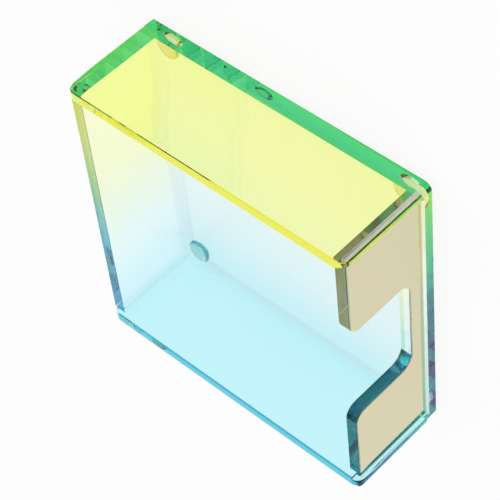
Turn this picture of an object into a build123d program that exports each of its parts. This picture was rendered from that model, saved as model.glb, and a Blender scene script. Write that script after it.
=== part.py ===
from build123d import *
import math
import os

# Open note box of welded acrylic sheet, millimetres.
# It stands on its feet with the opening up: +X is the yellow side, -X the blue side,
# -Y the front with the mirrored face and the finger notch. The origin is on the table,
# under the middle of the base plate.

# Compartment that holds the notes
compartment_width = 92.0
compartment_depth = 90.8

# Acrylic sheet
sheet_thickness = 4.0
front_wall_thickness = 2.5
facing_thickness = 1.3

# Heights above the floor of the compartment
side_height = 30.4
front_height = 28.2
back_height = 29.0

# Rebate along the front of the base plate and the side plates. It leaves a thinner lip
# that frames the facing plate and stands proud of the mirror film
lip_thickness = 3.0
lip_reach = 1.2

# Rounded corners at the rim of a side plate, and the upright front edges of the box
side_corner_radius = 3.0
side_edge_radius = 1.2
base_corner_radius = 2.5

# Finger notch through the front wall, the facing plate and the film, open to the rim
notch_width = 35.4
notch_sill = 4.4
notch_floor_radius = 4.5
notch_rim_radius = 4.0

# Mirror film on the front of the facing plate
film_thickness = 0.2
film_margin = 0.3

# Round bumper feet with their adhesive discs
foot_diameter = 8.0
foot_height = 2.05
foot_side_height = 0.5
foot_flat_diameter = 3.0
foot_margin = 3.0
adhesive_diameter = 7.6
adhesive_thickness = 0.15

# Places that follow from the sizes
base_bottom = foot_height + adhesive_thickness
ledge_level = base_bottom + lip_thickness
floor_level = base_bottom + sheet_thickness
outer_width = compartment_width + 2 * sheet_thickness
recess_width = outer_width - 2 * lip_thickness
recess_depth = lip_reach + film_thickness + facing_thickness
front_depth = recess_depth + front_wall_thickness
side_length = front_depth + compartment_depth + sheet_thickness
front_edge = -side_length / 2
film_back = front_edge + lip_reach + film_thickness
recess_back = front_edge + recess_depth
front_wall_back = front_edge + front_depth
back_wall_front = side_length / 2 - sheet_thickness
foot_inset = foot_margin + foot_diameter / 2
foot_x = outer_width / 2 - foot_inset
foot_y = side_length / 2 - foot_inset


def full_outline(corner_radius, level, height):
    """Block with the outline of the box, rounded at its two front corners."""
    outline = Rectangle(outer_width, side_length)
    front_corners = outline.vertices().sort_by(Axis.Y)[:2]
    outline = fillet(front_corners, corner_radius)
    return extrude(Pos(0, 0, level) * outline, amount=height)


def base_plate():
    """Floor of the box, cut to the full outline, with a rebate for the facing plate."""
    plate = full_outline(base_corner_radius, base_bottom, sheet_thickness)
    rebate = Rectangle(recess_width, recess_depth, align=(Align.CENTER, Align.MIN))
    return plate - extrude(Pos(0, front_edge, ledge_level) * rebate, amount=sheet_thickness)


def side_plate(inner_face, outward):
    """Side plate that stands on the base plate, with a rounded rim and a rebate at its front."""
    outline = Rectangle(side_length, side_height, align=(Align.CENTER, Align.MIN))
    rim_corners = outline.vertices().sort_by(Axis.Y)[-2:]
    outline = fillet(rim_corners, side_corner_radius)
    placed = Plane((inner_face, 0, floor_level), x_dir=(0, 1, 0), z_dir=(1, 0, 0)) * outline
    plate = extrude(placed, amount=outward * sheet_thickness)
    rebate = Box(
        2 * (sheet_thickness - lip_thickness),
        2 * recess_depth,
        side_height,
        align=(Align.CENTER, Align.CENTER, Align.MIN),
    )
    plate = plate & full_outline(side_edge_radius, floor_level, side_height)
    return plate - Pos(inner_face, front_edge, floor_level) * rebate


def front_outline(width, foot_drop, margin):
    """Outline of a sheet at the front, with the notch; a margin draws its free edges in.

    The foot drop is how far the sheet reaches below the floor of the compartment.
    """
    half_notch = notch_width / 2 + margin
    rim = front_height - margin
    sill = notch_sill - margin
    outline = Rectangle(width, rim + foot_drop, align=(Align.CENTER, Align.MIN))
    notch = Rectangle(2 * half_notch, rim - sill, align=(Align.CENTER, Align.MIN))
    outline = Pos(0, -foot_drop) * outline - Pos(0, sill) * notch
    corners = outline.vertices().filter_by(lambda v: abs(abs(v.X) - half_notch) < 1e-6)
    sill_corners = corners.sort_by(Axis.Y)[:2]
    outline = fillet(sill_corners, notch_floor_radius + margin)
    corners = outline.vertices().filter_by(lambda v: abs(abs(v.X) - half_notch) < 1e-6)
    rim_corners = corners.sort_by(Axis.Y)[-2:]
    return fillet(rim_corners, notch_rim_radius - margin)


def front_sheet(outline, back_face, thickness):
    """Sheet with the given outline, reaching forward from its back face."""
    plane = Plane((0, back_face, floor_level), x_dir=(1, 0, 0), z_dir=(0, -1, 0))
    return extrude(plane * outline, amount=thickness)


def back_wall():
    """Plain wall between the side plates, opposite the notch."""
    outline = Rectangle(compartment_width, sheet_thickness, align=(Align.CENTER, Align.MIN))
    return extrude(Pos(0, back_wall_front, floor_level) * outline, amount=back_height)


def foot(x, y):
    """Clear rubber bumper: a short upright side, then a dome that ends in a small flat."""
    radius = foot_diameter / 2
    flat_radius = foot_flat_diameter / 2
    dome_height = foot_height - foot_side_height
    dome_centre = (radius**2 - flat_radius**2 + dome_height**2) / (2 * dome_height)
    dome_radius = math.hypot(flat_radius, dome_centre)
    upright = Cylinder(radius, foot_height, align=(Align.CENTER, Align.CENTER, Align.MIN))
    return Pos(x, y, 0) * (upright & Pos(0, 0, dome_centre) * Sphere(dome_radius))


def adhesive(x, y):
    """Adhesive disc that holds a foot to the underside of the base plate."""
    return Pos(x, y, foot_height) * extrude(Circle(adhesive_diameter / 2), amount=adhesive_thickness)


# Outlines of the three sheets at the front
ledge_drop = sheet_thickness - lip_thickness
wall_outline = front_outline(compartment_width, 0, 0)
facing_outline = front_outline(recess_width, ledge_drop, 0)
film_outline = front_outline(recess_width, ledge_drop, film_margin)

parts = {
    "base_plate": base_plate(),
    "side_plate_right": side_plate(compartment_width / 2, 1),
    "side_plate_left": side_plate(-compartment_width / 2, -1),
    "front_wall": front_sheet(wall_outline, front_wall_back, front_wall_thickness),
    "facing_plate": front_sheet(facing_outline, recess_back, facing_thickness),
    "mirror_film": front_sheet(film_outline, film_back, film_thickness),
    "back_wall": back_wall(),
}

for end, y in (("front", -foot_y), ("back", foot_y)):
    for side, x in (("left", -foot_x), ("right", foot_x)):
        parts[f"foot_{end}_{side}"] = foot(x, y)
        parts[f"adhesive_{end}_{side}"] = adhesive(x, y)

os.makedirs("parts", exist_ok=True)
for name, solid in parts.items():
    solid.label = name
    export_step(solid, f"parts/{name}.step")
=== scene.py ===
import bpy
import bmesh
import math
from mathutils import Matrix, Vector


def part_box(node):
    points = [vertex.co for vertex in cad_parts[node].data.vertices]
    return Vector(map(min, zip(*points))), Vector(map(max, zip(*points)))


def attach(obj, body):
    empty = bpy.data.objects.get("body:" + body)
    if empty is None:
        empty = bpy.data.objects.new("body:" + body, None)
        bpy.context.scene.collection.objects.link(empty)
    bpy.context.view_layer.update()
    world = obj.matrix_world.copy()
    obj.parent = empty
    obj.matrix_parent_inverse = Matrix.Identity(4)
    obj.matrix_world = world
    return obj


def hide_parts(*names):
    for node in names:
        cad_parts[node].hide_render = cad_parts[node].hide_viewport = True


bl_info = {
    "name": "Acrylic Note Box",
    "version": (1, 0, 0),
    "blender": (4, 5, 0),
    "location": "3D View > Sidebar > Note Box",
    "description": "Builds an open note box of tinted acrylic sheet with a mirrored front",
    "category": "Object",
}

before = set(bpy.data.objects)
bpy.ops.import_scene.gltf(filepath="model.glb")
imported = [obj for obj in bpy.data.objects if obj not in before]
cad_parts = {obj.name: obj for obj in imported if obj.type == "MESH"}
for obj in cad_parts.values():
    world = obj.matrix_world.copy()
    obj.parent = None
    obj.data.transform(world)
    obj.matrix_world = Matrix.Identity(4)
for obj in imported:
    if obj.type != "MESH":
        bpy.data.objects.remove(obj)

MM = 0.001
# Places nearer to each other than the first are one place, and a face nearer to a plane than
# the second lies in it
TOUCH = 1e-6
IN_PLANE = 10 * TOUCH
# An edge that turns by more than the first stays a corner when shaded, and one that turns by
# more than the second has an arris to take off
CORNER = math.radians(12)
SHARP = math.radians(60)
# Largest face that is shaded as part of a curve, in square metres. Bigger ones are flat sides
CURVED_FACE = 3e-6
# Least part of a face's normal along an axis for the face to be square to the axis, to look
# that way, and to look up at all, and the most for it to run across a sheet
SQUARE_ON = 0.99
LOOKS_ALONG = 0.2
LOOKS_UP = 0.05
RUNS_ACROSS = 0.5
# Most of the bare strip round the film that an arris may take
ARRIS_SHARE = 0.8
# Room behind the mirror film, too thin to see, so that its back isn't in the plate's face
FILM_GAP = 0.01 * MM
# Flats round a foot and its adhesive disc, and steps in the curve of a foot's dome
ROUND_SEGMENTS = 48
DOME_STEPS = 8
FEET = ("front_left", "front_right", "back_left", "back_right")

# Places of the materials in a piece's slots. The first two are the same in every plate
POLISHED = 0
WELD = 1
# Base plate: its underside where a foot is stuck on, and its edges that are seen lengthways
UNDER_FOOT = 2
BASE_EDGE = 3
# Front wall and back wall: the cut edges of one, and the rim of the other
WALL_EDGE = 2
BACK_RIM = 2
# Facing plate: its sawn ends, and its other cut edges
SAWN_END = 2
FACING_EDGE = 3
# Mirror film: its front, and its back and edge
GOLD = 0
COATING = 1

# Sockets of a Mix node that mixes colours
MIX_A = 6
MIX_B = 7
MIX_RESULT = 2
WHITE = (1.0, 1.0, 1.0, 1.0)
# Indices of refraction. Acrylic sheet and clear polyurethane have nearly the same one
ACRYLIC_IOR = 1.49
ADHESIVE_IOR = 1.47
# Size of the clouds in the dye, and how far they lighten it
DYE_CLOUD = 30 * MM
CLOUDING = 0.05
# How much deeper a bounce is in a wall than in the base, and how faint the tint of a weld is
WALL_DEPTH = 1.4
WELD_TINT = 0.1
# Wave scale that puts saw marks 0.3 mm apart: a wave texture has 20 / (2 pi) bands a unit
SAW_MARKS = 2 * math.pi / (20 * 0.3 * MM)
# Brightness of a saw mark beside the sawn face, and its depth
SAW_SHADE = 0.95
SAW_DEPTH = 0.02 * MM

# Table: its radius in metres, how far it lies under the feet, and how much of it glows white
TABLE_RADIUS = 1.6
TABLE_DROP = 0.01 * MM
TABLE_GLOW = 0.88
# Camera: its place in metres, its turn and its focal length, fitted to the edges of the box
CAMERA_PLACE = (0.4257724, -0.2693983, 0.2624112)
CAMERA_TURN = (
    (-0.0814151, 0.6465510, 0.7585139),
    (-0.7315108, 0.4781405, -0.4860798),
    (-0.6769516, -0.5944354, 0.4340312),
)
CAMERA_LENS = 142.978


# Colours and nodes

def linear(hex_colour):
    """Turn an sRGB hex colour into the linear colour that Blender works with."""
    channels = [int(hex_colour[i:i + 2], 16) / 255 for i in (0, 2, 4)]
    return tuple(c / 12.92 if c <= 0.04045 else ((c + 0.055) / 1.055) ** 2.4 for c in channels)


def per_surface(sheet_colour):
    """Tint of one surface, so that light through both faces of a sheet takes its whole colour."""
    return (*(math.sqrt(channel) for channel in sheet_colour), 1.0)


def add_node(tree, kind, sockets=None, **settings):
    """Add a node with its settings, and give its sockets values or links from other sockets."""
    made = tree.nodes.new(kind)
    for name, value in settings.items():
        setattr(made, name, value)
    for name, value in (sockets or {}).items():
        if isinstance(value, bpy.types.NodeSocket):
            tree.links.new(value, made.inputs[name])
        else:
            made.inputs[name].default_value = value
    return made


def new_material(name):
    """Make an empty node material, or empty the one that has this name."""
    material = bpy.data.materials.get(name) or bpy.data.materials.new(name)
    material.use_nodes = True
    material.node_tree.nodes.clear()
    return material


def covered(material, kind, sockets):
    """The material, with one shader of the given kind as its whole surface."""
    shader = add_node(material.node_tree, kind, sockets)
    add_node(
        material.node_tree, "ShaderNodeOutputMaterial", {"Surface": shader.outputs["BSDF"]}
    )
    return material


def place_on_box(tree):
    """Sockets X, Y and Z that say where on the box a point of the surface is."""
    place = add_node(tree, "ShaderNodeTexCoord")
    return add_node(tree, "ShaderNodeSeparateXYZ", {"Vector": place.outputs["Object"]}).outputs


def varied(tree, grain, low, high):
    """Value that wanders between two others over the piece, in patches of a given size."""
    place = add_node(tree, "ShaderNodeTexCoord")
    cloud = add_node(
        tree,
        "ShaderNodeTexNoise",
        {"Vector": place.outputs["Object"], "Scale": 1 / grain, "Detail": 3.0},
    )
    # Noise rarely leaves the middle of its range, so that part is spread over the whole
    spread = add_node(
        tree,
        "ShaderNodeMapRange",
        {
            "Value": cloud.outputs["Fac"],
            "From Min": 0.3,
            "From Max": 0.7,
            "To Min": low,
            "To Max": high,
        },
    )
    return spread.outputs["Result"]


def waved(tree, grain, depth):
    """Normal of a face that is uneven by a given depth, in waves of a given size."""
    bump = add_node(
        tree, "ShaderNodeBump", {"Height": varied(tree, grain, 0.0, 1.0), "Distance": depth}
    )
    return bump.outputs["Normal"]


def colour_along(tree, stops):
    """Colour that changes from -X to +X of the box, from stops of a place and a colour."""
    half_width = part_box("base_plate")[1].x
    share = add_node(
        tree,
        "ShaderNodeMapRange",
        {"Value": place_on_box(tree)["X"], "From Min": -half_width, "From Max": half_width},
    )
    ramp = add_node(tree, "ShaderNodeValToRGB", {"Fac": share.outputs["Result"]})
    for position, _ in stops[1:-1]:
        ramp.color_ramp.elements.new(position)
    for (position, colour), element in zip(stops, ramp.color_ramp.elements):
        element.position = position
        element.color = colour
    return ramp.outputs["Color"]


# Dyes, and the painted shade and tint of edges seen lengthways

def fade_stops(of_wall):
    """Dye of the sheets that fade from cyan blue at -X through clear to yellow at +X.

    Each stop has its place along the box, the colour of light through the sheet there, and the
    colour of one bounce inside it.
    """
    look = bpy.context.scene.note_box_look
    yellow_middle = look.wall_yellow_middle if of_wall else look.yellow_middle
    yellow_end = look.wall_yellow_end if of_wall else look.yellow_end
    end_bounce = look.wall_yellow_end_bounce if of_wall else look.yellow_end_bounce
    return (
        (0.0, look.blue_end, look.blue_end_bounce),
        (0.3, look.blue_middle, look.blue_middle_bounce),
        (0.68, yellow_middle, look.yellow_middle_bounce),
        (0.96, yellow_end, end_bounce),
    )


def deeper(stops, times):
    """The same dye with each bounce deeper, for a wall that light runs through for longer."""
    return [(at, sheet, [channel**times for channel in bounce]) for at, sheet, bounce in stops]


def one_dye(colour, bounce):
    """Dye of a sheet that has one colour all over."""
    return ((0.0, colour, bounce), (1.0, colour, bounce))


def cut_edge_shade_stops():
    """Painted shade and tint of the front sheets seen lengthways from their cut edges, darker and
    greyer than their dye.
    """
    look = bpy.context.scene.note_box_look
    return (
        (0.3, look.cut_edge_shade_blue, look.blue_middle_bounce),
        (0.7, look.cut_edge_shade_yellow, look.yellow_middle_bounce),
    )


def base_edge_shade_stops():
    """Painted shade and tint of the base seen lengthways from its front edge, and at +X from its
    yellow edge, partly the dye along the sheet.
    """
    look = bpy.context.scene.note_box_look
    return (
        (0.55, look.base_edge_shade_blue, look.blue_middle_bounce),
        (0.68, look.base_edge_shade_yellow, look.yellow_middle_bounce),
        (0.96, look.base_edge_shade_yellow, look.yellow_end_bounce),
        (1.0, look.base_edge_shade_end, look.yellow_end_bounce),
    )


def back_rim_shade_stops():
    """Painted shade and tint of the back wall seen down through it from its rim, darker than its
    dye.
    """
    look = bpy.context.scene.note_box_look
    return (
        (0.4, look.back_rim_shade_blue, look.blue_middle_bounce),
        (0.6, look.back_rim_shade_yellow, look.yellow_middle_bounce),
    )


# Materials

def polished_acrylic(name, stops, clear_lip=False):
    """Polished surface of dyed acrylic sheet, with the stops of its dye, or of the painted shade
    and tint of an edge.

    Light that crosses a surface takes half the sheet's depth of colour. Light that is thrown
    back inside runs a long way through the dye to the next surface, so a bounce is deeper.
    """
    # To the eye: glassy, with hard clean reflections and no grain, pale through its faces and
    # deep in colour at its edges
    material = new_material(name)
    tree = material.node_tree
    crossed = colour_along(tree, [(at, per_surface(sheet)) for at, sheet, _ in stops])
    bounced = colour_along(tree, [(at, (*bounce, 1.0)) for at, _, bounce in stops])
    if clear_lip:
        # The strip beside the mirror is pale, so the lip there gives crossing light no tint
        lip = add_node(
            tree,
            "ShaderNodeMath",
            {0: place_on_box(tree)["Y"], 1: recess()[1].y + TOUCH},
            operation="LESS_THAN",
        )
        crossed = add_node(
            tree,
            "ShaderNodeMix",
            {"Factor": lip.outputs["Value"], MIX_A: crossed, MIX_B: WHITE},
            data_type="RGBA",
        ).outputs[MIX_RESULT]
    # Cast sheet is clouded a little, where the dye lies thinner
    clouded = add_node(
        tree,
        "ShaderNodeMix",
        {"Factor": varied(tree, DYE_CLOUD, 0.0, CLOUDING), MIX_A: crossed, MIX_B: WHITE},
        data_type="RGBA",
    )
    # From inside, the share of the light that is mirrored takes the colour of a bounce
    mirrored = add_node(tree, "ShaderNodeFresnel", {"IOR": ACRYLIC_IOR})
    side = add_node(tree, "ShaderNodeNewGeometry")
    inside = add_node(
        tree,
        "ShaderNodeMath",
        {0: mirrored.outputs["Fac"], 1: side.outputs["Backfacing"]},
        operation="MULTIPLY",
    )
    colour = add_node(
        tree,
        "ShaderNodeMix",
        {"Factor": inside.outputs["Value"], MIX_A: clouded.outputs[MIX_RESULT], MIX_B: bounced},
        data_type="RGBA",
    )
    return covered(
        material,
        "ShaderNodeBsdfGlass",
        {"Color": colour.outputs[MIX_RESULT], "Roughness": 0.0, "IOR": ACRYLIC_IOR},
    )


def contact(name, tints):
    """Solvent weld or adhesive contact, with tints from -X to +X as stops of place and colour."""
    # To the eye: nothing but a faint tint. The two faces have grown together, so light goes
    # straight on and no reflection shows
    material = new_material(name)
    crossed = colour_along(material.node_tree, [(at, (*tint, 1.0)) for at, tint in tints])
    return covered(material, "ShaderNodeBsdfTransparent", {"Color": crossed})


def weld(name, stops):
    """Solvent weld in a dyed sheet, which keeps a little of the sheet's colour."""
    tints = [(at, [channel**WELD_TINT for channel in sheet]) for at, sheet, _ in stops]
    return contact(f"solvent_weld_in_{name}", tints)


def fade_materials(kind, depth):
    """Cast acrylic sheet, polished, dyed from yellow through clear to cyan, and its welds."""
    stops = deeper(fade_stops(kind == "wall"), depth)
    return (polished_acrylic(f"cast_acrylic_fade_{kind}", stops), weld(kind, stops))


def side_materials(name, colour, bounce, clear_lip=False):
    """Cast acrylic sheet of one colour, polished, and its welds."""
    stops = one_dye(colour, bounce)
    return (polished_acrylic(f"cast_acrylic_{name}", stops, clear_lip), weld(name, stops))


def foot_contact():
    """Underside of the base where a foot is stuck on, seen through the whole dyed sheet: the dye,
    with painted shade and coloured light on the foot.
    """
    look = bpy.context.scene.note_box_look
    tints = ((0.0, look.foot_painted_tint_blue), (1.0, look.foot_painted_tint_yellow))
    return contact("adhesive_under_fade_painted_tint", tints)


def clear_contact():
    """Contact face of a clear piece."""
    # To the eye: nothing, because light crosses it unbent and untinted
    material = new_material("clear_contact")
    return covered(material, "ShaderNodeBsdfTransparent", {"Color": WHITE})


def acrylic_clear():
    """Extruded acrylic sheet without dye, polished."""
    # To the eye: clear and glossy, with the very faint unevenness of an extruded face
    look = bpy.context.scene.note_box_look
    material = new_material("extruded_acrylic_clear")
    return covered(
        material,
        "ShaderNodeBsdfGlass",
        {
            "Color": per_surface(look.clear_sheet),
            "Roughness": varied(material.node_tree, 0.8 * MM, 0.0, 0.02),
            "IOR": ACRYLIC_IOR,
        },
    )


def sawn_acrylic():
    """Sawn end of clear acrylic sheet."""
    # To the eye: frosted and nearly white, so that it glows evenly, with fine upright marks
    look = bpy.context.scene.note_box_look
    material = new_material("sawn_acrylic_end")
    tree = material.node_tree
    # The blade leaves marks that run up the end
    place = add_node(tree, "ShaderNodeTexCoord")
    marks = add_node(
        tree,
        "ShaderNodeTexWave",
        {"Vector": place.outputs["Object"], "Scale": SAW_MARKS, "Distortion": 0.6, "Detail": 1.0},
        bands_direction="Y",
    )
    shade = add_node(
        tree,
        "ShaderNodeMix",
        {
            "Factor": marks.outputs["Fac"],
            MIX_A: (*(channel * SAW_SHADE for channel in look.sawn), 1.0),
            MIX_B: (*look.sawn, 1.0),
        },
        data_type="RGBA",
    )
    uneven = add_node(
        tree, "ShaderNodeBump", {"Height": marks.outputs["Fac"], "Distance": SAW_DEPTH}
    )
    return covered(
        material,
        "ShaderNodeBsdfPrincipled",
        {
            "Base Color": shade.outputs[MIX_RESULT],
            "Roughness": 0.45,
            "Normal": uneven.outputs["Normal"],
        },
    )


def aluminium_coating():
    """Bare aluminium coating on the back and at the cut edge of the mirror film."""
    # To the eye: a bright greyish mirror, a little softer than the front
    look = bpy.context.scene.note_box_look
    material = new_material("aluminium_coating")
    return covered(
        material,
        "ShaderNodeBsdfPrincipled",
        {
            "Base Color": (*look.coating, 1.0),
            "Metallic": 1.0,
            "Roughness": varied(material.node_tree, 3 * MM, 0.03, 0.09),
        },
    )


def gold_film():
    """Metallised polyester film in pale gold, laid flat on the sheet."""
    # To the eye: a bright warm mirror whose reflections waver slightly, as a film's do
    look = bpy.context.scene.note_box_look
    material = new_material("pale_gold_mirror_film")
    tree = material.node_tree
    return covered(
        material,
        "ShaderNodeBsdfPrincipled",
        {
            "Base Color": (*look.gold, 1.0),
            "Metallic": 1.0,
            "Roughness": varied(tree, 5 * MM, 0.02, 0.07),
            "Normal": waved(tree, 12 * MM, 0.01 * MM),
        },
    )


def bumper_rubber():
    """Clear polyurethane bumper, moulded."""
    # To the eye: clear with a faint satin skin, so that what is behind it is a little blurred
    look = bpy.context.scene.note_box_look
    material = new_material("clear_polyurethane_bumper")
    tree = material.node_tree
    return covered(
        material,
        "ShaderNodeBsdfGlass",
        {
            "Color": per_surface(look.rubber),
            "Roughness": varied(tree, 0.5 * MM, 0.06, 0.16),
            "IOR": ACRYLIC_IOR,
            "Normal": waved(tree, 1.5 * MM, 0.01 * MM),
        },
    )


def adhesive_edge():
    """Clear acrylic adhesive, a thin soft layer, seen only at its edge."""
    # To the eye: a hazy, faintly warm line
    look = bpy.context.scene.note_box_look
    material = new_material("clear_acrylic_adhesive")
    return covered(
        material,
        "ShaderNodeBsdfGlass",
        {
            "Color": per_surface(look.adhesive),
            "Roughness": varied(material.node_tree, 0.4 * MM, 0.15, 0.35),
            "IOR": ADHESIVE_IOR,
        },
    )


def white_table():
    """Matt white table top."""
    # To the eye: an even white with no edge. It glows where it is seen, straight, in a mirror
    # or through the sheets, and to all other light it is plain and matt
    look = bpy.context.scene.note_box_look
    material = new_material("matt_white_table")
    tree = material.node_tree
    matt = add_node(
        tree,
        "ShaderNodeBsdfDiffuse",
        {"Color": (*look.floor, 1.0), "Roughness": varied(tree, 2 * MM, 0.2, 0.4)},
    )
    white = add_node(tree, "ShaderNodeEmission", {"Color": WHITE, "Strength": 1.0})
    ray = add_node(tree, "ShaderNodeLightPath").outputs
    seen = ray["Is Camera Ray"]
    for kind in ("Is Glossy Ray", "Is Transmission Ray"):
        either = add_node(tree, "ShaderNodeMath", {0: seen, 1: ray[kind]}, operation="MAXIMUM")
        seen = either.outputs["Value"]
    share = add_node(tree, "ShaderNodeMath", {0: seen, 1: TABLE_GLOW}, operation="MULTIPLY")
    mixed = add_node(
        tree,
        "ShaderNodeMixShader",
        {"Fac": share.outputs["Value"], 1: matt.outputs["BSDF"], 2: white.outputs["Emission"]},
    )
    add_node(tree, "ShaderNodeOutputMaterial", {"Surface": mixed.outputs["Shader"]})
    return material


# Shapes

def box_shape(low, high):
    """A block between two corners."""
    shape = bmesh.new()
    bmesh.ops.create_cube(shape, size=1.0)
    bmesh.ops.scale(shape, vec=high - low, verts=shape.verts)
    bmesh.ops.translate(shape, vec=(low + high) / 2, verts=shape.verts)
    return shape


def on_plane(face, axis, level):
    """Whether a face lies in the plane across an axis at a level."""
    return all(abs(v.co[axis] - level) < IN_PLANE for v in face.verts)


def cut_faces(shape, axis, level, across, edge):
    """Cut the faces in one plane where another plane crosses them."""
    faces = [f for f in shape.faces if on_plane(f, axis, level)]
    geometry = faces + list({e for f in faces for e in f.edges})
    geometry += list({v for f in faces for v in f.verts})
    normal = Vector((across == 0, across == 1, across == 2))
    bmesh.ops.bisect_plane(
        shape, geom=geometry, dist=TOUCH, plane_co=normal * edge, plane_no=normal
    )


def recess():
    """The room at the front that the facing plate and the film stand in: its two corners."""
    low, high = (corner.copy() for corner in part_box("facing_plate"))
    low.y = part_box("base_plate")[0].y
    return low, high


def blocks(node):
    """The straight blocks that the recess leaves of a plate, each as its two corners."""
    low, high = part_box(node)
    room_low, room_high = recess()
    middle_low = max(low.x, room_low.x)
    middle_high = min(high.x, room_high.x)
    behind = max(low.y, room_high.y)
    candidates = (
        (low, Vector((room_low.x, high.y, high.z))),
        (Vector((room_high.x, low.y, low.z)), high),
        (Vector((middle_low, behind, low.z)), Vector((middle_high, high.y, high.z))),
        (
            Vector((middle_low, low.y, low.z)),
            Vector((middle_high, behind, min(high.z, room_low.z))),
        ),
    )
    return [(a, b) for a, b in candidates if all(b[axis] - a[axis] > TOUCH for axis in range(3))]


def mark_contact(shape, low, high):
    """Cut out and mark the parts of a plate's faces where a neighbour's block is welded on."""
    for axis in range(3):
        for level in {low[axis], high[axis]}:
            for across in (a for a in range(3) if a != axis):
                for edge in {low[across], high[across]}:
                    cut_faces(shape, axis, level, across, edge)
    for face in shape.faces:
        inside = all(
            low[axis] - IN_PLANE < vertex.co[axis] < high[axis] + IN_PLANE
            for vertex in face.verts
            for axis in range(3)
        )
        if inside:
            face.material_index = WELD


def mark_neighbours(shape, *neighbours):
    """Mark where a plate is welded to its neighbours and to the back of the facing plate."""
    for neighbour in neighbours:
        for low, high in blocks(neighbour):
            mark_contact(shape, low, high)
    low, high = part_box("facing_plate")
    mark_contact(shape, Vector((low.x, high.y, low.z)), high)


def mark_cut_edges(shape, edge):
    """Mark the faces across a front sheet that are seen lengthways: its rim, jambs and ends."""
    size = bpy.context.scene.note_box_size
    above_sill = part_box("front_wall")[0].z + size.notch_sill + size.notch_floor_radius / 2
    shape.normal_update()
    for face in shape.faces:
        across = abs(face.normal.y) < RUNS_ACROSS and face.material_index == POLISHED
        if across and face.calc_center_median().z > above_sill:
            face.material_index = edge


def mark_base_edges(shape, corner):
    """Mark the base's front edge and its edge along the yellow side, which are seen lengthways."""
    low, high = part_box("base_plate")
    bmesh.ops.recalc_face_normals(shape, faces=shape.faces)
    for face in shape.faces:
        middle = face.calc_center_median()
        front = face.normal.y < -LOOKS_ALONG and middle.y < low.y + corner
        yellow_end = face.normal.x > LOOKS_ALONG and middle.x > high.x - corner
        if (front or yellow_end) and face.material_index == POLISHED:
            face.material_index = BASE_EDGE


def draw_out(shape, faces, way):
    """Draw some faces of a block out of it, with walls round them."""
    geometry = faces + list({e for f in faces for e in f.edges})
    drawn = bmesh.ops.extrude_face_region(shape, geom=geometry)
    moved = [g for g in drawn["geom"] if isinstance(g, bmesh.types.BMVert)]
    bmesh.ops.translate(shape, vec=way, verts=moved)


def round_front_corners(shape, radius):
    """Round the box's two upright front edges, with one cut for each flat of the curve."""
    segments = bpy.context.scene.note_box_size.corner_segments
    low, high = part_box("base_plate")
    for outer, inward in ((high.x, -1), (low.x, 1)):
        centre = Vector((outer + inward * radius, low.y + radius, 0.0))
        for step in range(segments):
            angle = math.radians(90) * (step + 0.5) / segments
            outward = Vector((-inward * math.cos(angle), -math.sin(angle), 0.0))
            # The ends of a flat lie on the curve, so its middle is nearer to the centre
            reach = radius * math.cos(math.radians(45) / segments)
            cut = bmesh.ops.bisect_plane(
                shape,
                geom=shape.verts[:] + shape.edges[:] + shape.faces[:],
                dist=TOUCH,
                plane_co=centre + outward * reach,
                plane_no=outward,
                clear_outer=True,
            )
            rim = [g for g in cut["geom_cut"] if isinstance(g, bmesh.types.BMEdge)]
            if rim:
                for face in bmesh.ops.contextual_create(shape, geom=rim)["faces"]:
                    face.smooth = True


def break_arrises(shape, width):
    """Take the sharpness off the edges that stay in sight, and leave the welded ones."""
    bmesh.ops.recalc_face_normals(shape, faces=shape.faces)
    edges = [
        e for e in shape.edges
        if len(e.link_faces) == 2
        and all(f.material_index != WELD for f in e.link_faces)
        and e.calc_face_angle_signed() > SHARP
    ]
    bmesh.ops.bevel(
        shape, geom=edges, offset=width, segments=2, profile=0.5, affect="EDGES", material=-1
    )


def polish_rim(shape, radius):
    """Round the long edges of a side plate's rim, which flame polishing has softened."""
    bmesh.ops.recalc_face_normals(shape, faces=shape.faces)
    edges = []
    for edge in shape.edges:
        flat = [f for f in edge.link_faces if abs(f.normal.x) > SQUARE_ON]
        rim = [
            f for f in edge.link_faces
            if f.normal.z > LOOKS_UP and abs(f.normal.x) < 1 - SQUARE_ON
        ]
        if len(flat) == 1 and len(rim) == 1 and edge.calc_face_angle_signed() > 0:
            edges.append(edge)
    bmesh.ops.bevel(
        shape, geom=edges, offset=radius, segments=4, profile=0.5, affect="EDGES", material=-1
    )


def make_piece(shape, name, node, materials):
    """Turn a shape into a piece that rides on the box and stands for its CAD node."""
    # A bevel can overshoot a little where it runs into a curve, so it is drawn back
    low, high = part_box(node)
    for vertex in shape.verts:
        for axis in range(3):
            vertex.co[axis] = min(max(vertex.co[axis], low[axis]), high[axis])
    bmesh.ops.recalc_face_normals(shape, faces=shape.faces)
    for face in shape.faces:
        face.smooth = face.smooth or face.calc_area() < CURVED_FACE
    mesh = bpy.data.meshes.new(name)
    shape.to_mesh(mesh)
    shape.free()
    mesh.set_sharp_from_angle(angle=CORNER)
    for material in materials:
        mesh.materials.append(material)
    piece = bpy.data.objects.new(name, mesh)
    bpy.context.scene.collection.objects.link(piece)
    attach(piece, "root")
    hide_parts(node)
    return piece


def rounded_path(shape, points, radii):
    """A run of straight edges whose corners are rounded, as a list of its vertices in order."""
    vertices = [shape.verts.new(p) for p in points]
    for a, b in zip(vertices, vertices[1:]):
        shape.edges.new((a, b))
    for radius, vertex in zip(radii, vertices[1:-1]):
        bmesh.ops.bevel(
            shape,
            geom=[vertex],
            offset=radius,
            segments=bpy.context.scene.note_box_size.corner_segments,
            profile=0.5,
            affect="VERTICES",
            material=-1,
        )


def chain_from(start):
    """The edges of the run that starts at a vertex."""
    edges = []
    vertex = start
    while True:
        onward = [e for e in vertex.link_edges if e not in edges]
        if not onward:
            return edges
        edges.append(onward[0])
        vertex = onward[0].other_vert(vertex)


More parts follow.
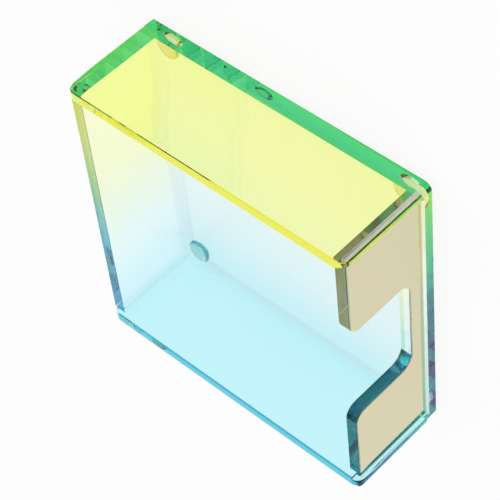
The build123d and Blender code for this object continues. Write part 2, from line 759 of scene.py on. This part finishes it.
def free_edge(shape, half_width, margin, y):
    """The rim and the notch of the front as a run of edges, drawn in by a margin."""
    size = bpy.context.scene.note_box_size
    low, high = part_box("front_wall")
    rim = high.z - margin
    half_notch = size.notch_width / 2 + margin
    sill = low.z + size.notch_sill - margin
    points = (
        (-half_width, y, rim),
        (-half_notch, y, rim),
        (-half_notch, y, sill),
        (half_notch, y, sill),
        (half_notch, y, rim),
        (half_width, y, rim),
    )
    rim_radius = size.notch_rim_radius - margin
    floor_radius = size.notch_floor_radius + margin
    before = set(shape.verts)
    rounded_path(shape, points, (rim_radius, floor_radius, floor_radius, rim_radius))
    made = [v for v in shape.verts if v not in before]
    start = min(made, key=lambda v: (v.co.x, -v.co.z))
    return chain_from(start)


def face_below(shape, edges, bottom):
    """The face of a sheet from a run of edges down to its lower edge."""
    ends = [v for e in edges for v in e.verts if sum(v in other.verts for other in edges) == 1]
    ends.sort(key=lambda v: v.co.x)
    feet = [shape.verts.new((v.co.x, v.co.y, bottom)) for v in ends]
    ring = list(edges)
    ring.append(shape.edges.new((ends[0], feet[0])))
    ring.append(shape.edges.new((feet[0], feet[1])))
    ring.append(shape.edges.new((feet[1], ends[1])))
    return bmesh.ops.contextual_create(shape, geom=ring)["faces"]


def foot_rings(shape, level):
    """A ring of edges at a level round the place of each foot's adhesive disc."""
    rings = []
    for where in FEET:
        low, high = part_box(f"adhesive_{where}")
        centre = (low + high) / 2
        ring = bmesh.ops.create_circle(
            shape,
            cap_ends=False,
            radius=(high.x - low.x) / 2,
            segments=ROUND_SEGMENTS,
            matrix=Matrix.Translation((centre.x, centre.y, level)),
        )["verts"]
        rings.append(list({e for v in ring for e in v.link_edges}))
    return rings


def bumper(low, high, layer_radius):
    """A bumper foot: a flat, a dome and an upright side, spun from its outline."""
    size = bpy.context.scene.note_box_size
    radius = (high.x - low.x) / 2
    flat = size.foot_flat / 2
    rise = high.z - low.z - size.foot_side
    arc_centre = (radius**2 - flat**2 + rise**2) / (2 * rise)
    arc_angle = math.atan2(radius, arc_centre - rise) - math.atan2(flat, arc_centre)
    shape = bmesh.new()
    start = shape.verts.new((flat, 0.0, low.z))
    arc = bmesh.ops.spin(
        shape,
        geom=[start],
        cent=(0.0, 0.0, low.z + arc_centre),
        axis=(0.0, 1.0, 0.0),
        angle=-arc_angle,
        steps=DOME_STEPS,
    )["geom_last"]
    upper = next(g for g in arc if isinstance(g, bmesh.types.BMVert))
    top = shape.verts.new((radius, 0.0, high.z))
    shape.edges.new((upper, top))
    bmesh.ops.spin(
        shape,
        geom=shape.verts[:] + shape.edges[:],
        cent=(0.0, 0.0, 0.0),
        axis=(0.0, 0.0, 1.0),
        angle=2 * math.pi,
        steps=ROUND_SEGMENTS,
        use_merge=True,
    )
    bmesh.ops.remove_doubles(shape, verts=shape.verts, dist=TOUCH)
    bmesh.ops.holes_fill(shape, edges=shape.edges, sides=0)
    # The adhesive covers the middle of the upper face, and leaves a bare ring round it
    lid = max(shape.faces, key=lambda f: f.calc_center_median().z)
    bmesh.ops.inset_individual(shape, faces=[lid], thickness=radius - layer_radius)
    lid.material_index = WELD
    centre = Vector(((low.x + high.x) / 2, (low.y + high.y) / 2, 0.0))
    bmesh.ops.translate(shape, vec=centre, verts=shape.verts)
    return shape


def thicken(shape, depth):
    """Turn a flat outline into a sheet that reaches back along Y."""
    faces = list(shape.faces)
    raised = bmesh.ops.extrude_face_region(shape, geom=faces, use_keep_orig=True)
    moved = [g for g in raised["geom"] if isinstance(g, bmesh.types.BMVert)]
    bmesh.ops.translate(shape, vec=(0.0, depth, 0.0), verts=moved)


# Settings

def length_setting(name, description, millimetres):
    """A length that a user can change."""
    return bpy.props.FloatProperty(
        name=name, description=description, default=millimetres * MM, unit="LENGTH"
    )


def colour_setting(name, description, hex_colour):
    """A colour that a user can change."""
    return bpy.props.FloatVectorProperty(
        name=name, description=description, default=linear(hex_colour), subtype="COLOR"
    )


class NoteBoxSize(bpy.types.PropertyGroup):
    """Sizes that the plates and feet are finished to."""

    arris: length_setting("Arris", "Width of the sharpness taken off a plate's free edges", 0.15)
    rim_polish: length_setting(
        "Rim Polish",
        "Rounding that flame polishing gives the two long edges of a side plate's rim",
        0.8,
    )
    rim_corner_radius: length_setting(
        "Rim Corner Radius", "Radius of the two corners at the rim of a side plate", 3.0
    )
    base_corner_radius: length_setting(
        "Base Corner Radius", "Radius of the two front corners of the base plate", 2.5
    )
    side_edge_radius: length_setting(
        "Side Edge Radius", "Radius of the upright front edge of a side plate", 1.2
    )
    corner_segments: bpy.props.IntProperty(
        name="Corner Segments",
        description="Number of flats that a rounded corner is made of",
        default=12,
        min=2,
    )
    notch_width: length_setting("Notch Width", "Width of the finger notch in the front wall", 35.4)
    notch_sill: length_setting(
        "Notch Sill", "Height of the notch's lower edge above the floor of the box", 4.4
    )
    notch_floor_radius: length_setting(
        "Notch Sill Radius", "Radius of the corners between the notch's sides and its sill", 4.5
    )
    notch_rim_radius: length_setting(
        "Notch Rim Radius", "Radius where the notch's sides run out into the rim", 4.0
    )
    film_margin: length_setting(
        "Film Margin",
        "Bare strip between the mirror film and the free edges of the plate behind it",
        0.3,
    )
    facing_play: length_setting(
        "Facing Play",
        "Gap at the ends of the front sheets, and under the facing plate and the film",
        0.02,
    )
    foot_side: length_setting("Foot Side", "Height of the upright side of a bumper foot", 0.5)
    foot_flat: length_setting(
        "Foot Flat", "Diameter of the flat that a bumper foot stands on", 3.0
    )


class NoteBoxLook(bpy.types.PropertyGroup):
    """Colours, each as white light shows it through one sheet or off the surface."""

    yellow_side: colour_setting("Yellow Side", "Side plate at the yellow end", "FAFFB8")
    yellow_side_bounce: colour_setting(
        "Yellow Side, Inside", "One bounce inside the yellow side plate", "FDFCD1"
    )
    blue_side: colour_setting("Blue Side", "Side plate at the blue end", "C7F7FF")
    blue_side_bounce: colour_setting(
        "Blue Side, Inside", "One bounce inside the blue side plate", "B6EFF6"
    )
    yellow_end: colour_setting("Fade, Yellow End", "Base next to the yellow side plate", "FDFFE7")
    yellow_end_bounce: colour_setting(
        "Yellow End, Inside", "One bounce inside the base next to the yellow side plate", "FAFDC8"
    )
    yellow_middle: colour_setting(
        "Fade, Towards Yellow", "Base a third of the way in from the yellow end", "FEFFF7"
    )
    yellow_middle_bounce: colour_setting(
        "Towards Yellow, Inside",
        "One bounce inside the sheet a third of the way in from the yellow end",
        "F9FEF3",
    )
    blue_middle: colour_setting(
        "Fade, Towards Blue", "Base and walls a third of the way in from the blue end", "F0FDFF"
    )
    blue_middle_bounce: colour_setting(
        "Towards Blue, Inside",
        "One bounce inside the sheet a third of the way in from the blue end",
        "D7F8F6",
    )
    blue_end: colour_setting(
        "Fade, Blue End", "Base and walls next to the blue side plate", "D1F8FF"
    )
    blue_end_bounce: colour_setting(
        "Blue End, Inside", "One bounce inside the sheet next to the blue side plate", "BCEFF2"
    )
    wall_yellow_middle: colour_setting(
        "Wall, Towards Yellow",
        "Front and back wall a third of the way in from the yellow end",
        "FDFFD1",
    )
    wall_yellow_end: colour_setting(
        "Wall, Yellow End", "Front and back wall next to the yellow side plate", "FDFFDA"
    )
    wall_yellow_end_bounce: colour_setting(
        "Wall, Yellow End, Inside",
        "One bounce inside the front or back wall next to the yellow side plate",
        "F8FDDD",
    )
    # Painted shade: the cut edges of the front sheets, darker and greyer than their dye
    cut_edge_shade_blue: colour_setting(
        "Cut Edge, Blue",
        "Edge of the front sheets at the blue end, seen lengthways through them",
        "5293BC",
    )
    cut_edge_shade_yellow: colour_setting(
        "Cut Edge, Yellow",
        "Edge of the front sheets at the yellow end, seen lengthways through them",
        "99959B",
    )
    # Painted shade and tint: the base's front and yellow edges, partly the dye along the sheet
    base_edge_shade_blue: colour_setting(
        "Base Edge, Blue",
        "Front edge of the base at the blue end, seen lengthways through it",
        "F0B1C4",
    )
    base_edge_shade_yellow: colour_setting(
        "Base Edge, Yellow",
        "Front edge of the base at the yellow end, seen lengthways through it",
        "FFFFD1",
    )
    base_edge_shade_end: colour_setting(
        "Base Edge, End",
        "Edge of the base along the yellow side, seen through the whole fade",
        "BCFCF9",
    )
    # Painted shade and tint: the back wall's rim, darker than its dye
    back_rim_shade_blue: colour_setting(
        "Back Rim, Blue", "Rim of the back wall at the blue end, seen down through it", "DDBFE3"
    )
    back_rim_shade_yellow: colour_setting(
        "Back Rim, Yellow",
        "Rim of the back wall at the yellow end, seen down through it",
        "E3C889",
    )
    # Painted shade and tint: a foot seen through the base, deeper than the sheet's dye
    foot_painted_tint_blue: colour_setting(
        "Foot Tint, Blue", "Dye seen through to a foot at the blue end", "B3E7EC"
    )
    foot_painted_tint_yellow: colour_setting(
        "Foot Tint, Yellow", "Dye seen through to a foot at the yellow end", "FFF0AD"
    )
    gold: colour_setting("Mirror Gold", "Colour of the mirror film", "D8D0AC")
    coating: colour_setting(
        "Mirror Back", "Bare metal on the back and at the edge of the mirror film", "ADB195"
    )
    clear_sheet: colour_setting("Clear Sheet", "Facing plate without dye", "F6F9F6")
    sawn: colour_setting("Sawn End", "Frosted ends of the facing plate", "FBFBFB")
    rubber: colour_setting("Bumper", "Clear rubber of the feet", "EEF0EA")
    adhesive: colour_setting("Adhesive", "Adhesive layer behind a foot", "EFE6D2")
    floor: colour_setting("Floor", "Table that the box stands on", "F4F4F4")


# Pieces

class NOTEBOX_OT_base_plate(bpy.types.Operator):
    """Make the base plate, marked where the other plates and the feet are joined to it"""

    bl_idname = "note_box.base_plate"
    bl_label = "Base Plate"

    def execute(self, context):
        corner = context.scene.note_box_size.base_corner_radius
        low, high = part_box("base_plate")
        room_low, room_high = recess()
        shape = bmesh.new()
        outline = [
            shape.verts.new((x, y, low.z))
            for x, y in ((low.x, low.y), (high.x, low.y), (high.x, high.y), (low.x, high.y))
        ]
        edges = [shape.edges.new((a, b)) for a, b in zip(outline, outline[1:] + outline[:1])]
        walls = bmesh.ops.extrude_edge_only(shape, edges=edges)
        top = [g for g in walls["geom"] if isinstance(g, bmesh.types.BMVert)]
        bmesh.ops.translate(shape, vec=(0.0, 0.0, room_low.z - low.z), verts=top)
        bmesh.ops.contextual_create(shape, geom=top)
        # The underside is filled round the discs where the adhesive of the feet is stuck on
        discs = foot_rings(shape, low.z)
        rings = [e for disc in discs for e in disc]
        bmesh.ops.triangle_fill(shape, use_beauty=True, edges=edges + rings)
        for disc in discs:
            for face in bmesh.ops.contextual_create(shape, geom=disc)["faces"]:
                face.material_index = UNDER_FOOT
        # All but the rebate along the front is drawn up to the floor of the compartment
        for across, edge in ((0, room_low.x), (0, room_high.x), (1, room_high.y)):
            cut_faces(shape, 2, room_low.z, across, edge)
        raised = []
        for face in shape.faces:
            middle = face.calc_center_median()
            in_rebate = room_low.x < middle.x < room_high.x and middle.y < room_high.y
            if on_plane(face, 2, room_low.z) and not in_rebate:
                raised.append(face)
        draw_out(shape, raised, (0.0, 0.0, high.z - room_low.z))
        round_front_corners(shape, corner)
        mark_neighbours(shape, "side_plate_right", "side_plate_left", "front_wall", "back_wall")
        mark_base_edges(shape, corner)
        materials = (
            *fade_materials("base", 1.0),
            # Where a foot is stuck on, painted shade and tint
            foot_contact(),
            # The base's front and yellow edges take painted shade and tint
            polished_acrylic("cast_acrylic_base_edge_painted_shade", base_edge_shade_stops()),
        )
        make_piece(shape, "BasePlate", "base_plate", materials)
        return {"FINISHED"}


class NOTEBOX_OT_side_plates(bpy.types.Operator):
    """Make the yellow and the blue side plate, with rounded corners at the rim"""

    bl_idname = "note_box.side_plates"
    bl_label = "Side Plates"

    def execute(self, context):
        size = context.scene.note_box_size
        look = context.scene.note_box_look
        yellow = side_materials(
            "lemon_yellow", look.yellow_side, look.yellow_side_bounce, clear_lip=True
        )
        blue = side_materials("cyan_blue", look.blue_side, look.blue_side_bounce)
        plates = (
            ("side_plate_right", "SidePlateYellow", "acrylic_yellow", yellow),
            ("side_plate_left", "SidePlateBlue", "acrylic_blue", blue),
        )
        room_low, room_high = recess()
        for node, name, slot, materials in plates:
            low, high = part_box(node)
            # The outer block has the full length, and its front end is the lip
            outer_low, outer_high = max(blocks(node), key=lambda block: block[1].x - block[0].x)
            is_yellow = outer_low.x > 0
            shape = box_shape(outer_low, outer_high)
            rim_corners = [
                e for e in shape.edges
                if all(v.co.z > high.z - TOUCH for v in e.verts)
                and abs(e.verts[0].co.x - e.verts[1].co.x) > TOUCH
            ]
            bmesh.ops.bevel(
                shape,
                geom=rim_corners,
                offset=size.rim_corner_radius,
                segments=size.corner_segments,
                profile=0.5,
                affect="EDGES",
                material=-1,
            )
            # The rest of the thickness starts behind the rebate for the facing plate
            inner_face = outer_low.x if is_yellow else outer_high.x
            cut_faces(shape, 0, inner_face, 1, room_high.y)
            behind = [
                f for f in shape.faces
                if on_plane(f, 0, inner_face) and f.calc_center_median().y > room_high.y
            ]
            depth = (high.x - low.x) - (outer_high.x - outer_low.x)
            draw_out(shape, behind, (-depth if is_yellow else depth, 0.0, 0.0))
            round_front_corners(shape, size.side_edge_radius)
            mark_neighbours(shape, "base_plate", "back_wall")
            # The yellow lip in front of the film is marked too, as if solvent had run up it, so
            # that light crosses it unbent
            if is_yellow:
                film_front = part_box("mirror_film")[0].y
                mark_contact(shape, room_low, Vector((room_high.x, film_front, room_high.z)))
            polish_rim(shape, size.rim_polish)
            break_arrises(shape, size.arris)
            make_piece(shape, name, node, materials)
        return {"FINISHED"}


class NOTEBOX_OT_front_wall(bpy.types.Operator):
    """Make the front wall with its rounded finger notch"""

    bl_idname = "note_box.front_wall"
    bl_label = "Front Wall"

    def execute(self, context):
        size = context.scene.note_box_size
        low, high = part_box("front_wall")
        shape = bmesh.new()
        rim = free_edge(shape, high.x - size.facing_play, 0.0, low.y)
        face_below(shape, rim, low.z)
        thicken(shape, high.y - low.y)
        # The whole front is welded to the facing plate
        for face in shape.faces:
            if on_plane(face, 1, low.y):
                face.material_index = WELD
        mark_neighbours(shape, "base_plate")
        mark_cut_edges(shape, WALL_EDGE)
        break_arrises(shape, size.arris)
        materials = (
            *fade_materials("wall", WALL_DEPTH),
            # The cut edges take painted shade
            polished_acrylic("cast_acrylic_cut_edge_painted_shade", cut_edge_shade_stops()),
        )
        make_piece(shape, "FrontWall", "front_wall", materials)
        return {"FINISHED"}


class NOTEBOX_OT_facing_plate(bpy.types.Operator):
    """Make the thin clear plate in front of the wall, which carries the mirror film"""

    bl_idname = "note_box.facing_plate"
    bl_label = "Facing Plate"

    def execute(self, context):
        size = context.scene.note_box_size
        low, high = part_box("facing_plate")
        half_width = high.x - size.facing_play
        shape = bmesh.new()
        rim = free_edge(shape, half_width, 0.0, low.y)
        film_rim = free_edge(shape, half_width, size.film_margin, low.y)
        bmesh.ops.bridge_loops(shape, edges=rim + film_rim)
        for face in face_below(shape, film_rim, low.z + size.facing_play):
            face.material_index = WELD
        thicken(shape, high.y - low.y)
        # The back is welded on, the front is bare only round the film, and the ends are sawn
        for face in shape.faces:
            if on_plane(face, 1, high.y):
                face.material_index = WELD
            elif any(v.co.y > low.y + TOUCH for v in face.verts):
                face.material_index = POLISHED
            if on_plane(face, 0, half_width) or on_plane(face, 0, -half_width):
                face.material_index = SAWN_END
        mark_cut_edges(shape, FACING_EDGE)
        break_arrises(shape, min(size.arris, size.film_margin * ARRIS_SHARE))
        materials = (
            acrylic_clear(),
            clear_contact(),
            sawn_acrylic(),
            # The cut edges take painted shade
            polished_acrylic("clear_acrylic_cut_edge_painted_shade", cut_edge_shade_stops()),
        )
        make_piece(shape, "FacingPlate", "facing_plate", materials)
        return {"FINISHED"}


class NOTEBOX_OT_mirror_film(bpy.types.Operator):
    """Make the gold mirror film on the facing plate"""

    bl_idname = "note_box.mirror_film"
    bl_label = "Mirror Film"

    def execute(self, context):
        size = context.scene.note_box_size
        low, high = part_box("mirror_film")
        shape = bmesh.new()
        rim = free_edge(shape, high.x - size.facing_play, size.film_margin, low.y)
        face_below(shape, rim, low.z + size.facing_play)
        thicken(shape, high.y - low.y - FILM_GAP)
        for face in shape.faces:
            face.material_index = GOLD if on_plane(face, 1, low.y) else COATING
        materials = (gold_film(), aluminium_coating())
        make_piece(shape, "MirrorFilm", "mirror_film", materials)
        return {"FINISHED"}


class NOTEBOX_OT_back_wall(bpy.types.Operator):
    """Make the plain back wall"""

    bl_idname = "note_box.back_wall"
    bl_label = "Back Wall"

    def execute(self, context):
        low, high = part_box("back_wall")
        shape = box_shape(low, high)
        mark_neighbours(shape, "base_plate", "side_plate_right", "side_plate_left")
        for face in shape.faces:
            if on_plane(face, 2, high.z):
                face.material_index = BACK_RIM
        break_arrises(shape, context.scene.note_box_size.arris)
        materials = (
            *fade_materials("wall", WALL_DEPTH),
            # The rim takes painted shade and tint
            polished_acrylic("cast_acrylic_back_rim_painted_shade", back_rim_shade_stops()),
        )
        make_piece(shape, "BackWall", "back_wall", materials)
        return {"FINISHED"}


class NOTEBOX_OT_feet(bpy.types.Operator):
    """Make the four clear bumper feet and their adhesive discs"""

    bl_idname = "note_box.feet"
    bl_label = "Bumper Feet"

    def execute(self, context):
        rubber = bumper_rubber()
        adhesive = adhesive_edge()
        joined = clear_contact()
        for where in FEET:
            name = where.title().replace("_", "")
            low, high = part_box(f"foot_{where}")
            layer_low, layer_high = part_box(f"adhesive_{where}")
            layer_radius = (layer_high.x - layer_low.x) / 2
            shape = bumper(low, high, layer_radius)
            make_piece(shape, f"Foot{name}", f"foot_{where}", (rubber, joined))

            # The disc has its middle over the middle of its foot
            middle = (low + high) / 2
            middle.z = (layer_low.z + layer_high.z) / 2
            shape = bmesh.new()
            bmesh.ops.create_cone(
                shape,
                cap_ends=True,
                segments=ROUND_SEGMENTS,
                radius1=layer_radius,
                radius2=layer_radius,
                depth=layer_high.z - layer_low.z,
                matrix=Matrix.Translation(middle),
            )
            # Its two round faces stick to the foot and to the base
            for face in shape.faces:
                if len(face.verts) > 4:
                    face.material_index = WELD
            layer = (adhesive, joined)
            make_piece(shape, f"Adhesive{name}", f"adhesive_{where}", layer)
        return {"FINISHED"}


class NOTEBOX_OT_stage(bpy.types.Operator):
    """Set up the pale floor, the soft light and the camera"""

    bl_idname = "note_box.stage"
    bl_label = "Stage"

    def execute(self, context):
        scene = context.scene
        shape = bmesh.new()
        bmesh.ops.create_circle(
            shape,
            cap_ends=True,
            radius=TABLE_RADIUS,
            segments=96,
            matrix=Matrix.Translation((0.0, 0.0, -TABLE_DROP)),
        )
        mesh = bpy.data.meshes.new("Floor")
        shape.to_mesh(mesh)
        shape.free()
        mesh.materials.append(white_table())
        floor = bpy.data.objects.new("Floor", mesh)
        scene.collection.objects.link(floor)

        # The light comes evenly from all round, as in a tent of white cloth
        world = bpy.data.worlds.new("SoftStudio")
        world.use_nodes = True
        world.node_tree.nodes.clear()
        glow = add_node(
            world.node_tree, "ShaderNodeBackground", {"Color": WHITE, "Strength": 1.0}
        )
        add_node(
            world.node_tree, "ShaderNodeOutputWorld", {"Surface": glow.outputs["Background"]}
        )
        scene.world = world

        data = bpy.data.cameras.new("Camera")
        data.sensor_width = 36.0
        data.lens = CAMERA_LENS
        data.clip_start = 0.01
        data.clip_end = 10.0
        camera = bpy.data.objects.new("Camera", data)
        scene.collection.objects.link(camera)
        camera.matrix_world = Matrix.Translation(CAMERA_PLACE) @ Matrix(CAMERA_TURN).to_4x4()
        scene.camera = camera

        # Light goes back and forth inside the sheets many times before it comes out
        scene.cycles.max_bounces = 48
        scene.cycles.glossy_bounces = 40
        scene.cycles.transmission_bounces = 40
        scene.cycles.transparent_max_bounces = 40
        scene.view_settings.view_transform = "Standard"
        return {"FINISHED"}


class NOTEBOX_PT_panel(bpy.types.Panel):
    """Steps that build the note box, in order"""

    bl_idname = "NOTEBOX_PT_panel"
    bl_label = "Note Box"
    bl_space_type = "VIEW_3D"
    bl_region_type = "UI"
    bl_category = "Note Box"

    def draw(self, context):
        for step in STEPS:
            self.layout.operator(step.bl_idname)
        for group in (context.scene.note_box_size, context.scene.note_box_look):
            box = self.layout.box()
            for name in group.__annotations__:
                box.prop(group, name)


STEPS = (
    NOTEBOX_OT_base_plate,
    NOTEBOX_OT_side_plates,
    NOTEBOX_OT_front_wall,
    NOTEBOX_OT_facing_plate,
    NOTEBOX_OT_mirror_film,
    NOTEBOX_OT_back_wall,
    NOTEBOX_OT_feet,
    NOTEBOX_OT_stage,
)
CLASSES = (NoteBoxSize, NoteBoxLook, *STEPS, NOTEBOX_PT_panel)


def register():
    """Make the classes and their settings known to Blender."""
    for kind in CLASSES:
        bpy.utils.register_class(kind)
    bpy.types.Scene.note_box_size = bpy.props.PointerProperty(type=NoteBoxSize)
    bpy.types.Scene.note_box_look = bpy.props.PointerProperty(type=NoteBoxLook)


def unregister():
    """Take the classes and their settings out again."""
    del bpy.types.Scene.note_box_look
    del bpy.types.Scene.note_box_size
    for kind in reversed(CLASSES):
        bpy.utils.unregister_class(kind)


def main():
    """Build the note box on its frame."""
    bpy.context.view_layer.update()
    register()
    bpy.ops.note_box.base_plate()
    bpy.ops.note_box.side_plates()
    bpy.ops.note_box.front_wall()
    bpy.ops.note_box.facing_plate()
    bpy.ops.note_box.mirror_film()
    bpy.ops.note_box.back_wall()
    bpy.ops.note_box.feet()
    bpy.ops.note_box.stage()


if __name__ == "__main__":
    main()
